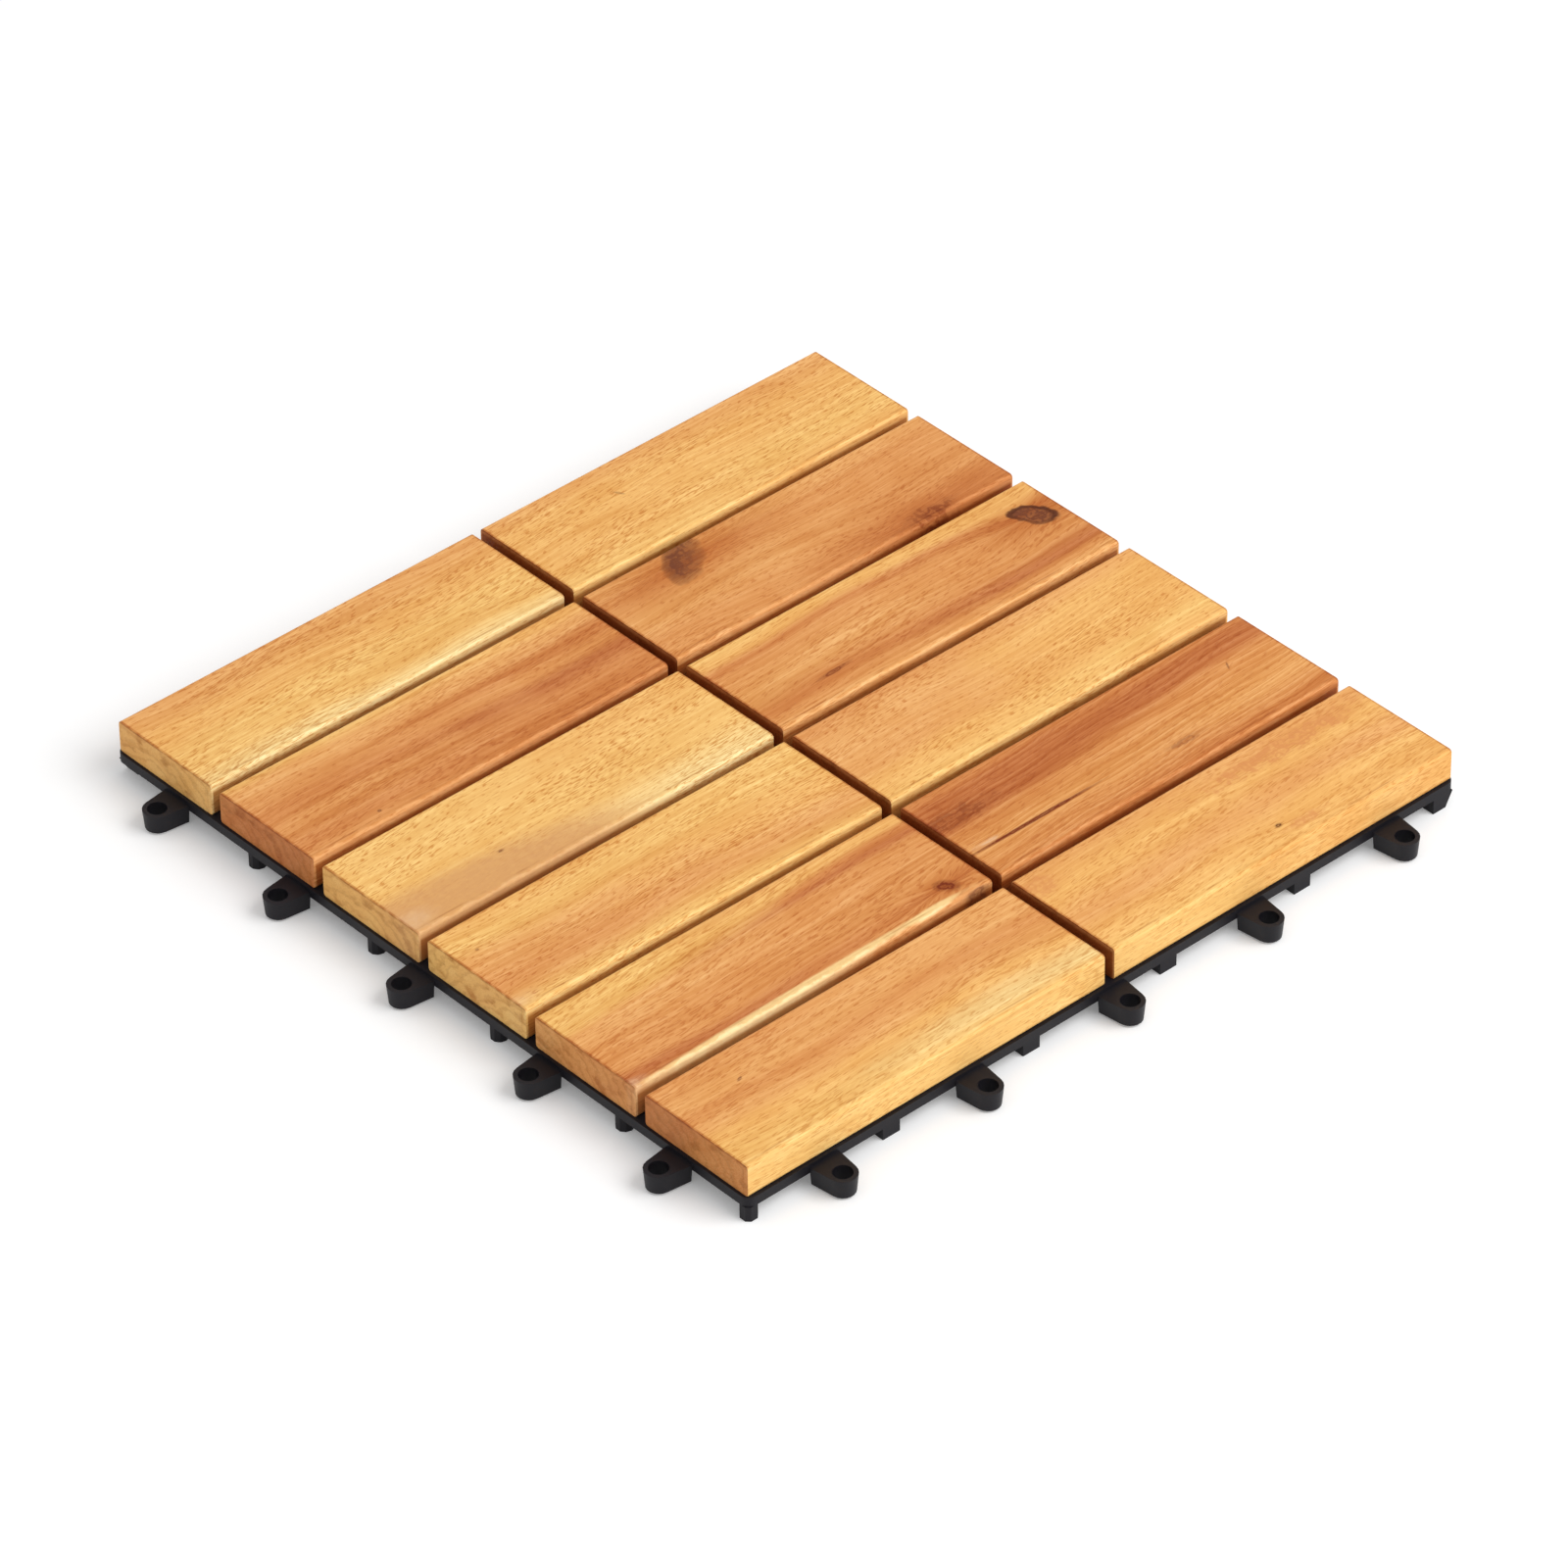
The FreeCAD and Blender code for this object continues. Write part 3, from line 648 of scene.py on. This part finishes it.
class TimberFinish(Coat):
    """Oiled, sanded acacia for one slat, with painted shade in the gaps between slats and a pale -Y arris
    that is partly sanded wood and partly painted highlight.

    The colours multiply the wood under them. Spans and levels are those of smooth steps, in millimetres
    where they measure the slat.
    """

    STREAK = (0.82, 0.67, 0.50, 1.0)
    LINE = (0.86, 0.73, 0.58, 1.0)
    FIBRE = (0.84, 0.71, 0.56, 1.0)
    SHEEN = (1.07, 1.16, 1.28, 1.0)
    CLOUD = (0.94, 0.87, 0.77, 1.0)
    PORE = (0.78, 0.61, 0.47, 1.0)
    FLECK = (1.06, 1.13, 1.19, 1.0)
    HALO = (0.74, 0.52, 0.36, 1.0)
    SCORCH = (0.58, 0.38, 0.26, 1.0)
    DUSK = (0.62, 0.46, 0.33, 1.0)
    # The next colour pales the -Y arris: partly sanded wood, partly painted highlight.
    RAW_AND_HIGHLIGHT = (1.15, 1.31, 1.58, 1.0)
    # The next colour is painted shade for the walls in the gaps between slats.
    GAP_SHADE = (0.54, 0.37, 0.25, 1.0)

    TURN_SPREAD = 60.0
    VEIN_LEAST = 0.15
    VEIN_SHARE = 0.5
    LINE_COUNT = 130.0
    LINE_BEND = 14.0
    LINE_SPAN = (0.1, 1.0)
    DARK_FIBRES = (0.42, 0.56)
    LIGHT_FIBRES = (0.52, 0.64)
    CLOUD_SPAN = (0.4, 0.65)
    CLOUD_SHARE = 0.6

    # Where the painted shade on the walls in the gaps between slats starts and how it deepens.
    UPRIGHT_SPAN = (0.2, 0.7)
    FIELD_RIM = (1.0, 0.5)
    END_SPAN = (0.5, 0.8)
    SHADE_STARTS = (1.8, 0.4)
    SHADE_FADE = 1.8

    # The outline of the pale -Y arris, partly sanded wood and partly painted highlight, and how far it
    # reaches down the wall.
    TEARS = (0.16, 0.0, 0.3)
    TEAR_SPAN = (0.35, 0.65)
    TEAR_LIMITS = (0.5, 1.9)
    TEAR_START = 0.4
    WALL_SPAN = (1.0, 4.5)
    WALL_LEAST = 0.35
    SEAM_PLACE = 2.0
    SEAM_SPAN = (0.1, 0.5)
    SEAM_SHARE = 0.5
    SEAM_BREAKS = (0.04, 0.0, 0.0)
    SEAM_BREAK_SPAN = (0.45, 0.6)
    ARRIS_SPAN = (0.3, 1.0)
    BURNS = (0.3, 0.22, 0.3)
    BURN_SPAN = (0.3, 0.6)
    BURN_LEVELS = (0.35, 0.9)

    SPECKLES = (1.5, 2.6, 2.6)
    SPECKLE_SPAN = (0.38, 0.62)
    SPECKLE_SHARE = 0.5
    PITH_REACH = 40.0
    PITH_TURN = 5.0
    PITH_DEPTH = -28.0
    END_DRIFT = (0.0, 0.12, 0.2)
    END_SHIFT = 31.0
    RING_COUNT = 1.5
    RING_BEND = 16.0
    RING_SHARE = 0.4
    END_PALE_SPAN = (0.36, 0.48)
    END_PALE_SHARE = 0.6
    END_DARK_SPAN = (0.54, 0.68)
    END_DARK_SHARE = 0.8

    SAWN_SPAN = (0.55, 0.85)
    SAWN_SHOW = 0.25
    GLOSS_SPAN = (0.35, 0.65)
    ROUGHNESS = (0.62, 0.50)
    SPECULAR = 0.12
    RELIEF = 0.8
    BUMP_STRENGTH = 0.4
    BUMP_DISTANCE = 0.1 * MM

    def __init__(self, name: str, timber: Timber, groups: TimberGroups, field: Vector) -> None:
        """Makes the material.

        Args:
            name: the slat's name.
            timber: its figure.
            groups: the shared groups.
            field: the half sizes of the whole field of slats, in millimetres.
        """
        super().__init__(name + "_wood")
        self.timber = timber
        self.groups = groups
        self.field = field

    def _use(self, group: bpy.types.NodeTree, **values: object) -> Sockets:
        """Places a group.

        Args:
            group: the group.
            **values: its inputs by name.

        Returns:
            Its outputs.
        """
        node = self.add("ShaderNodeGroup", node_tree=group)
        for label, value in values.items():
            self.feed(node.inputs[label], value)
        return node.outputs

    def _find_marks(self, place: Socket, middle: Vector) -> tuple[list, Socket]:
        """Places the marks.

        Args:
            place: the place in the slat, in millimetres.
            middle: the slat's centre on the tile, in millimetres.

        Returns:
            Each mark with its masks, and the place with the grain bent round them.
        """
        found = []
        bent = place
        for mark in self.timber.marks:
            masks = self._use(
                self.groups.mark, Place=place, X=mark.x - middle.x, Y=mark.y - middle.y,
                Length=mark.length, Width=mark.width, Turn=mark.turn, Ragged=mark.ragged,
                Soft=mark.soft, Lean=mark.lean, Bend=mark.bend)
            found.append((mark, masks))
            bent = self.vector("+", bent, self.join(0.0, masks["Shift"], 0.0))
        return found, bent

    def _face(self, figure: Sockets, x: Socket) -> Socket:
        """The colour of the long faces, without marks.

        Args:
            figure: the masks of the grain.
            x: the place along the slat, in millimetres.

        Returns:
            The colour.
        """
        timber = self.timber
        fibre = figure["Fibre"]
        drift = self.math("-", figure["Mottle"], 0.5)
        drift = self.math("*+", drift, self.TURN_SPREAD, x)
        turn = self.step(drift, timber.turn_from, timber.turn_to)
        near, far = (self.ramp(figure["Across"], bands) for bands in (timber.near, timber.far))
        colour = self.blend(turn, near, far)
        vein = self.math("*", figure["Vein"], self.VEIN_LEAST + self.VEIN_SHARE * timber.streaks)
        colour = self.blend(vein, colour, self.SHEEN, "MULTIPLY")
        streak = self.math("*", figure["Streak"], timber.streaks)
        colour = self.blend(streak, colour, self.STREAK, "MULTIPLY")
        bend = self.math("*", fibre, self.LINE_BEND)
        wave = self.math("SINE", self.math("*+", figure["Across"], self.LINE_COUNT, bend))
        line = self.math("*", self.step(wave, *self.LINE_SPAN), timber.lines)
        colour = self.blend(line, colour, self.LINE, "MULTIPLY")
        dark = self.step(fibre, *self.DARK_FIBRES, timber.fibres, 0.0)
        colour = self.blend(dark, colour, self.FIBRE, "MULTIPLY")
        light = self.step(fibre, *self.LIGHT_FIBRES, 0.0, timber.fibres)
        colour = self.blend(light, colour, self.SHEEN, "MULTIPLY")
        cloud = self.step(figure["Mottle"], *self.CLOUD_SPAN, 0.0, self.CLOUD_SHARE)
        colour = self.blend(cloud, colour, self.CLOUD, "MULTIPLY")
        for name, tint in (("Fleck", self.FLECK), ("Pore", self.PORE)):
            share = self.math("*", figure[name], timber.pores)
            colour = self.blend(share, colour, tint, "MULTIPLY")
        return colour

    def _mark_up(self, colour: Socket, found: list) -> Socket:
        """Lays the marks over a colour.

        Args:
            colour: the colour without marks.
            found: each mark with its masks.

        Returns:
            The colour with marks.
        """
        for mark, masks in found:
            halo = self.math("*", masks["Halo"], mark.halo)
            colour = self.blend(halo, colour, self.HALO, "MULTIPLY")
            core = self.math("*", masks["Core"], mark.core)
            colour = self.blend(core, colour, mark.tone.linear())
            rim = self.math("*", masks["Rim"], mark.rim)
            colour = self.blend(rim, colour, Tone.BARK.linear())
        return colour

    def _gaps(self, colour: Socket, spot: bpy.types.Node, top: float) -> Socket:
        """Paints shade on the walls that face another slat, darker deeper down the gap.

        Args:
            colour: the colour of the faces.
            spot: the texture coordinates.
            top: the height of the upper face, in millimetres.

        Returns:
            The colour.
        """
        x, y, z = self.split(self.vector("*", spot.outputs["Object"], (1 / MM,) * 3))
        level = self.math("ABSOLUTE", self.split(spot.outputs["Normal"])[2])
        upright = self.step(level, *self.UPRIGHT_SPAN, 1.0, 0.0)
        outer, inner = self.FIELD_RIM
        within = [
            self.step(self.math("ABSOLUTE", value), half - outer, half - inner, 1.0, 0.0)
            for value, half in ((x, self.field.x), (y, self.field.y))]
        inside = self.math("*", *within)
        across = self.math("ABSOLUTE", self.split(spot.outputs["Normal"])[0])
        start = self.step(across, *self.END_SPAN, *self.SHADE_STARTS)
        depth = self.math("-", top, z)
        deep = self.step(depth, start, self.math("+", start, self.SHADE_FADE))
        # Painted shade that deepens down the walls between slats.
        painted_shade = self.math("*", self.math("*", upright, inside), deep)
        return self.blend(painted_shade, colour, self.GAP_SHADE, "MULTIPLY")

    def _edges(self, colour: Socket, place: Socket, size: Vector) -> Socket:
        """Lays the pale, torn edge on the -Y side, partly sanded wood and partly painted highlight, and the
        dark arrises of the sawn ends over a colour.

        Args:
            colour: the colour of the faces.
            place: the place in the slat, in millimetres.
            size: the slat's size, in millimetres.

        Returns:
            The colour.
        """
        x, y, z = self.split(place)
        torn = self.noise(place, self.TEARS, 4.0)
        from_side = self.math("+", y, size.y / 2)
        from_end = self.math("-", size.x / 2, self.math("ABSOLUTE", x))
        from_top = self.math("-", size.z / 2, z)
        limit = self.step(torn, *self.TEAR_SPAN, *self.TEAR_LIMITS)
        start = self.math("*", limit, self.TEAR_START)
        # The pale -Y arris and the top of its wall: partly sanded wood, partly painted highlight.
        pale = self.step(from_side, start, limit, self.timber.raw_and_highlight, 0.0)
        high = self.step(from_top, *self.WALL_SPAN, 1.0, self.WALL_LEAST)
        colour = self.blend(self.math("*", pale, high), colour, self.RAW_AND_HIGHLIGHT, "MULTIPLY")
        off_seam = self.math("ABSOLUTE", self.math("-", from_side, self.SEAM_PLACE))
        seam = self.step(off_seam, *self.SEAM_SPAN, self.SEAM_SHARE, 0.0)
        breaks = self.step(self.noise(place, self.SEAM_BREAKS, 3.0), *self.SEAM_BREAK_SPAN)
        colour = self.blend(self.math("*", seam, breaks), colour, self.SCORCH, "MULTIPLY")
        near = [self.step(distance, *self.ARRIS_SPAN, 1.0, 0.0) for distance in (from_end, from_top)]
        arris = self.math("*", *near)
        burn = self.step(self.noise(place, self.BURNS, 2.0), *self.BURN_SPAN, *self.BURN_LEVELS)
        return self.blend(self.math("*", arris, burn), colour, self.SCORCH, "MULTIPLY")

    def _ends(self, place: Socket) -> Socket:
        """The colour of the end grain.

        Args:
            place: the place in the slat, in millimetres.

        Returns:
            The colour.
        """
        seed = self.timber.seed
        speckle = self.noise(place, self.SPECKLES, 2.0)
        speckle = self.step(speckle, *self.SPECKLE_SPAN, 0.0, self.SPECKLE_SHARE)
        colour = self.blend(speckle, self.timber.end.linear(), self.FIBRE, "MULTIPLY")
        pith = (0.0, self.PITH_REACH * math.sin(self.PITH_TURN * seed), self.PITH_DEPTH)
        _, y, z = self.split(self.vector("-", place, pith))
        reach = self.math("SQRT", self.math("*+", y, y, self.math("*", z, z)))
        moved = self.vector("+", place, (0.0, self.END_SHIFT * seed, 0.0))
        drift = self.noise(moved, self.END_DRIFT, 3.0)
        bend = self.math("*", drift, self.RING_BEND)
        rings = self.math("SINE", self.math("*+", reach, self.RING_COUNT, bend))
        colour = self.blend(self.step(rings, 0.0, 1.0, 0.0, self.RING_SHARE), colour, self.DUSK, "MULTIPLY")
        pale = self.step(drift, *self.END_PALE_SPAN, self.END_PALE_SHARE, 0.0)
        colour = self.blend(pale, colour, self.SHEEN, "MULTIPLY")
        dark = self.step(drift, *self.END_DARK_SPAN, 0.0, self.END_DARK_SHARE)
        return self.blend(dark, colour, self.DUSK, "MULTIPLY")

    def build(self, low: Vector, high: Vector) -> bpy.types.Material:
        """Wires the material.

        Args:
            low: the lower corner of the slat's box, in metres.
            high: the upper corner.

        Returns:
            The material.
        """
        spot = self.add("ShaderNodeTexCoord")
        middle = (low + high) / 2 / MM
        size = (high - low) / MM
        place = self.vector("*", spot.outputs["Object"], (1 / MM,) * 3)
        place = self.vector("-", place, tuple(middle))
        found, bent = self._find_marks(place, middle)
        figure = self._use(
            self.groups.figure, Place=bent, Seed=self.timber.seed, Slope=self.timber.slope,
            Width=size.y, Wander=self.timber.wander)
        colour = self._mark_up(self._face(figure, self.split(place)[0]), found)
        facing = self.math("ABSOLUTE", self.split(spot.outputs["Normal"])[0])
        sawn = self.blend(self.SAWN_SHOW, self._ends(place), colour)
        colour = self.blend(self.step(facing, *self.SAWN_SPAN), colour, sawn)
        # Painted shade in the gaps between slats, and the pale -Y arris, which is partly painted highlight.
        colour = self._gaps(self._edges(colour, place, size), spot, high.z / MM)
        gloss = self.step(figure["Fibre"], *self.GLOSS_SPAN, *self.ROUGHNESS)
        self.dress({"Base Color": colour, "Roughness": gloss, "Specular IOR Level": self.SPECULAR})
        raised = self.math("*", figure["Fibre"], self.RELIEF)
        height = self.math("*+", figure["Pore"], -self.RELIEF, raised)
        self.bump(height, self.BUMP_STRENGTH, self.BUMP_DISTANCE)
        return self.material


@dataclass(frozen=True)
class MouldedPlastic:
    """Matte black plastic with a pale bloom and a fine moulded texture. Noise is in cells per metre."""

    name: str = "grid_plastic"
    colour: Colour = (0.0068, 0.0060, 0.0088, 1.0)
    bloom: Colour = (0.0125, 0.0110, 0.0145, 1.0)
    bloom_span: tuple[float, float] = (0.35, 0.7)
    bloom_share: float = 0.5
    gloss_span: tuple[float, float] = (0.3, 0.7)
    roughness: tuple[float, float] = (0.44, 0.56)
    specular: float = 0.23
    clouds: float = 60.0
    grains: float = 2600.0
    relief: float = 0.25
    relief_height: float = 0.05 * MM

    def build(self) -> bpy.types.Material:
        """Makes the material.

        Returns:
            The material.
        """
        coat = Coat(self.name)
        spot = coat.add("ShaderNodeTexCoord").outputs["Object"]
        cloud = coat.noise(spot, (self.clouds,) * 3, 3.0)
        grain = coat.noise(spot, (self.grains,) * 3, 1.0)
        share = coat.step(cloud, *self.bloom_span, 0.0, self.bloom_share)
        coat.dress({
            "Base Color": coat.blend(share, self.colour, self.bloom),
            "Roughness": coat.step(cloud, *self.gloss_span, *self.roughness),
            "Specular IOR Level": self.specular})
        coat.bump(grain, self.relief, self.relief_height)
        return coat.material


@dataclass(frozen=True)
class ScrewCoating:
    """Thin black coating on steel."""

    name: str = "screw_coating"
    colour: Colour = (0.02, 0.02, 0.022, 1.0)
    metallic: float = 0.6
    roughness: float = 0.38

    def build(self) -> bpy.types.Material:
        """Makes the material.

        Returns:
            The material.
        """
        coat = Coat(self.name)
        coat.dress({"Base Color": self.colour, "Metallic": self.metallic, "Roughness": self.roughness})
        return coat.material


class Piece:
    """A piece of the tile that stands for one node of the solid model."""

    def __init__(self, node: str) -> None:
        """Keeps the node's name."""
        self.node = node

    def place(
            self, name: str, form: bmesh.types.BMesh, material: bpy.types.Material,
            slot: str) -> bpy.types.Object:
        """Puts a finished form into the scene in the node's stead.

        Args:
            name: the object's name.
            form: its mesh, in place.
            material: its finish.
            slot: the record's slot of that finish; not used.

        Returns:
            The object.
        """
        mesh = bpy.data.meshes.new(name)
        form.to_mesh(mesh)
        form.free()
        mesh.materials.append(material)
        item = bpy.data.objects.new(name, mesh)
        bpy.context.scene.collection.objects.link(item)
        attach(item, "root")
        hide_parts(self.node)
        log.info("%s: %d faces", name, len(mesh.polygons))
        return item

    def round_edges(self, form: bmesh.types.BMesh, edges: list, offset: float, segments: int) -> None:
        """Rounds some edges of a form."""
        bmesh.ops.bevel(
            form, geom=edges, offset=offset, offset_type="OFFSET", segments=segments, profile=0.5,
            affect="EDGES", clamp_overlap=True, material=-1)

    def soften(self, item: bpy.types.Object, angle: float) -> None:
        """Shades a piece smooth up to an angle, with its large faces kept flat.

        Args:
            item: the piece.
            angle: the angle in degrees past which an edge stays sharp.
        """
        item.data.shade_smooth()
        item.data.set_sharp_from_angle(angle=math.radians(angle))
        weighted = item.modifiers.new("flat_faces", "WEIGHTED_NORMAL")
        weighted.keep_sharp = True


@dataclass
class Slat(Piece):
    """One slat with round upper edges. Sizes in metres, angles in degrees."""

    node: str
    timber: Timber
    top_round: float = 1.2 * MM
    foot_ease: float = 1.0 * MM
    end_ease: float = 0.4 * MM
    sharp_angle: float = 40.0

    def shape(self) -> bmesh.types.BMesh:
        """Makes the board.

        Returns:
            Its mesh, in place.
        """
        low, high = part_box(self.node)
        form = bmesh.new()
        bmesh.ops.create_cube(form, size=1.0)
        bmesh.ops.scale(form, vec=high - low, verts=form.verts)
        bmesh.ops.translate(form, vec=(low + high) / 2, verts=form.verts)
        long_edges = [e for e in form.edges if abs(e.verts[0].co.x - e.verts[1].co.x) > self.top_round]
        upper = [e for e in long_edges if e.verts[0].co.z > (low.z + high.z) / 2]
        lower = [e for e in long_edges if e not in upper]
        self.round_edges(form, upper, self.top_round, 5)
        self.round_edges(form, lower, self.foot_ease, 2)
        ends = [
            e for e in form.edges
            if all(min(v.co.x - low.x, high.x - v.co.x) < SAME_PLACE for v in e.verts)]
        self.round_edges(form, ends, self.end_ease, 2)
        return form

    def build(self, groups: TimberGroups, field: Vector, slot: str) -> bpy.types.Object:
        """Builds and dresses the slat.

        Args:
            groups: the shared shader groups.
            field: the half sizes of the whole field of slats, in millimetres.
            slot: the record's slot of its finish.

        Returns:
            The slat.
        """
        low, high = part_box(self.node)
        wood = TimberFinish(self.node, self.timber, groups, field).build(low, high)
        item = self.place(self.node + "_board", self.shape(), wood, slot)
        self.soften(item, self.sharp_angle)
        return item


@dataclass
class BaseGrid(Piece):
    """The moulded grid with its edges softened. Sizes in metres, angles in degrees."""

    node: str = "base_grid"
    edge_round: float = 0.35 * MM
    edge_angle: float = 35.0
    flat_angle: float = 0.5
    sharp_angle: float = 50.0

    def shape(self, source: bpy.types.Mesh) -> bmesh.types.BMesh:
        """Takes the moulding from the solid model and joins its loose triangles.

        Args:
            source: the node's mesh.

        Returns:
            Its mesh, in place.
        """
        form = bmesh.new()
        form.from_mesh(source)
        bmesh.ops.remove_doubles(form, verts=form.verts, dist=WELD)
        limit = math.radians(self.flat_angle)
        bmesh.ops.dissolve_limit(form, angle_limit=limit, verts=form.verts, edges=form.edges)
        return form

    def build(self, source: bpy.types.Mesh, slot: str) -> bpy.types.Object:
        """Builds and dresses the grid.

        Args:
            source: the node's mesh.
            slot: the record's slot of its finish.

        Returns:
            The grid.
        """
        item = self.place("moulded_grid", self.shape(source), MouldedPlastic().build(), slot)
        bevel = item.modifiers.new("soft_edges", "BEVEL")
        bevel.width = self.edge_round
        bevel.segments = 2
        bevel.limit_method = "ANGLE"
        bevel.angle_limit = math.radians(self.edge_angle)
        bevel.use_clamp_overlap = True
        self.soften(item, self.sharp_angle)
        return item


@dataclass
class ScrewSet(Piece):
    """The pan-head wood screws with a cross recess. Sizes in metres, angles in degrees."""

    node: str = "slat_screws"
    head_radius: float = 2.6 * MM
    head_height: float = 1.9 * MM
    head_sides: int = 20
    crown_share: float = 0.72
    rim_round: float = 0.35 * MM
    recess: Triple = (2.8 * MM, 0.72 * MM, 0.06 * MM)
    recess_level: float = 0.04 * MM
    sharp_angle: float = 40.0

    def centres(self, source: bpy.types.Mesh) -> list[Vector]:
        """Finds the screws' axes.

        Args:
            source: the node's mesh.

        Returns:
            A point under each head, at the lowest level of the node.
        """
        form = bmesh.new()
        form.from_mesh(source)
        bmesh.ops.remove_doubles(form, verts=form.verts, dist=WELD)
        lowest = min(v.co.z for v in form.verts) + SAME_PLACE
        points = [v.co for v in form.verts if v.co.z < lowest]
        found: list[Vector] = []
        for point in points:
            if all((centre - point).length >= 4 * self.head_radius for centre in found):
                ring = [other for other in points if (other - point).length < 3 * self.head_radius]
                found.append(sum(ring, Vector()) / len(ring))
        form.free()
        return found

    def shape(self, source: bpy.types.Mesh) -> bmesh.types.BMesh:
        """Makes all screws in one mesh.

        Args:
            source: the node's mesh.

        Returns:
            The mesh, in place.
        """
        form = bmesh.new()
        for centre in self.centres(source):
            head = bmesh.ops.create_cone(
                form, cap_ends=True, segments=self.head_sides, radius1=self.head_radius * self.crown_share,
                radius2=self.head_radius, depth=self.head_height)["verts"]
            cap = [f for f in form.faces if all(v in head for v in f.verts) and len(f.verts) > 4]
            bmesh.ops.translate(form, vec=centre + Vector((0, 0, self.head_height / 2)), verts=head)
            low = min(cap, key=lambda f: f.calc_center_median().z)
            self.round_edges(form, list(low.edges), self.rim_round, 3)
            for turn in (0.0, math.pi / 2):
                slot = bmesh.ops.create_cube(form, size=1.0)["verts"]
                bmesh.ops.scale(form, vec=self.recess, verts=slot)
                bmesh.ops.rotate(form, cent=(0, 0, 0), matrix=Matrix.Rotation(turn, 3, "Z"), verts=slot)
                bmesh.ops.translate(form, vec=centre + Vector((0, 0, self.recess_level)), verts=slot)
        return form

    def build(self, source: bpy.types.Mesh, slot: str) -> bpy.types.Object:
        """Builds and dresses the screws.

        Args:
            source: the node's mesh.
            slot: the record's slot of their finish.

        Returns:
            The screws.
        """
        item = self.place("coated_screws", self.shape(source), ScrewCoating().build(), slot)
        self.soften(item, self.sharp_angle)
        return item


@dataclass
class Studio:
    """White floor, soft light and the camera. Sizes in metres, angles in degrees, the lamp in watts."""

    floor_size: float = 12.0
    azimuth: float = -41.66
    elevation: float = 37.9
    roll: float = -0.79
    distance: float = 2.85
    lens: float = 206.0
    aim: Triple = (-0.0065, -0.0075, 0.009)
    sensor: float = 36.0
    view_end: float = 50.0
    floor_tone: Colour = (0.92, 0.92, 0.92, 1.0)
    floor_glow: float = 0.17
    sky_light: float = 0.60
    lamp_place: Triple = (1.1, -2.0, 2.3)
    lamp_size: float = 2.4
    lamp_power: float = 70.0

    def _white_for_eye(self, wiring: Wiring) -> Socket:
        """One where the camera, a mirror or glass looks, else nought."""
        path = wiring.add("ShaderNodeLightPath")
        seen = wiring.math("MAXIMUM", path.outputs["Is Camera Ray"], path.outputs["Is Glossy Ray"])
        return wiring.math("MAXIMUM", seen, path.outputs["Is Transmission Ray"])

    def floor(self) -> None:
        """Lays the floor."""
        form = bmesh.new()
        bmesh.ops.create_grid(form, x_segments=1, y_segments=1, size=self.floor_size / 2)
        mesh = bpy.data.meshes.new("floor")
        form.to_mesh(mesh)
        form.free()
        coat = Coat("floor_white")
        coat.dress({
            "Base Color": self.floor_tone, "Roughness": 1.0, "Specular IOR Level": 0.0,
            "Emission Color": WHITE,
            "Emission Strength": coat.math("*", self._white_for_eye(coat), self.floor_glow)})
        mesh.materials.append(coat.material)
        item = bpy.data.objects.new("floor", mesh)
        bpy.context.scene.collection.objects.link(item)

    def sky(self) -> None:
        """Lights the scene evenly from all round, white to the eye."""
        world = bpy.data.worlds.new("studio")
        bpy.context.scene.world = world
        world.use_nodes = True
        wiring = Wiring(world.node_tree)
        back = world.node_tree.nodes["Background"]
        back.inputs["Color"].default_value = WHITE
        strength = wiring.step(self._white_for_eye(wiring), 0.0, 1.0, self.sky_light, 1.0)
        wiring.feed(back.inputs["Strength"], strength)

    def lamp(self) -> None:
        """Hangs a square lamp that faces the tile."""
        data = bpy.data.lights.new("key", "AREA")
        data.shape = "SQUARE"
        data.size = self.lamp_size
        data.energy = self.lamp_power
        item = bpy.data.objects.new("key", data)
        item.location = self.lamp_place
        item.rotation_euler = (-Vector(self.lamp_place)).to_track_quat("-Z", "Y").to_euler()
        bpy.context.scene.collection.objects.link(item)

    def camera(self) -> None:
        """Sets up the camera."""
        turn, tip, lean = (math.radians(a) for a in (self.azimuth, self.elevation, self.roll))
        back = Vector((math.sin(turn) * math.cos(tip), -math.cos(turn) * math.cos(tip), math.sin(tip)))
        right = (-back).cross(Vector((0, 0, 1))).normalized()
        up = right.cross(-back)
        leaned = math.cos(lean) * right + math.sin(lean) * up
        raised = math.cos(lean) * up - math.sin(lean) * right
        data = bpy.data.cameras.new("camera")
        data.lens = self.lens
        data.sensor_width = self.sensor
        data.clip_end = self.view_end
        item = bpy.data.objects.new("camera", data)
        pose = Matrix((leaned, raised, back)).transposed().to_4x4()
        pose.translation = Vector(self.aim) + back * self.distance
        item.matrix_world = pose
        bpy.context.scene.collection.objects.link(item)
        bpy.context.scene.camera = item

    def build(self) -> None:
        """Sets the whole stage."""
        bpy.context.scene.view_settings.view_transform = "Standard"
        self.floor()
        self.sky()
        self.lamp()
        self.camera()


def main() -> None:
    """Builds the tile and its stage."""
    logging.basicConfig(level=logging.INFO, format="%(message)s")
    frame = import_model()
    nodes = frame["nodes"]
    slots = {part["node"]: part["material_slot"] for part in frame["record"]["subparts"]}
    groups = TimberGroups()
    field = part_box("slat_b1")[1] / MM
    for node, timber in TIMBERS.items():
        Slat(node, timber).build(groups, field, slots[node])
    BaseGrid().build(nodes["base_grid"].data, slots["base_grid"])
    ScrewSet().build(nodes["slat_screws"].data, slots["slat_screws"])
    Studio().build()


if __name__ == "__main__":
    main()
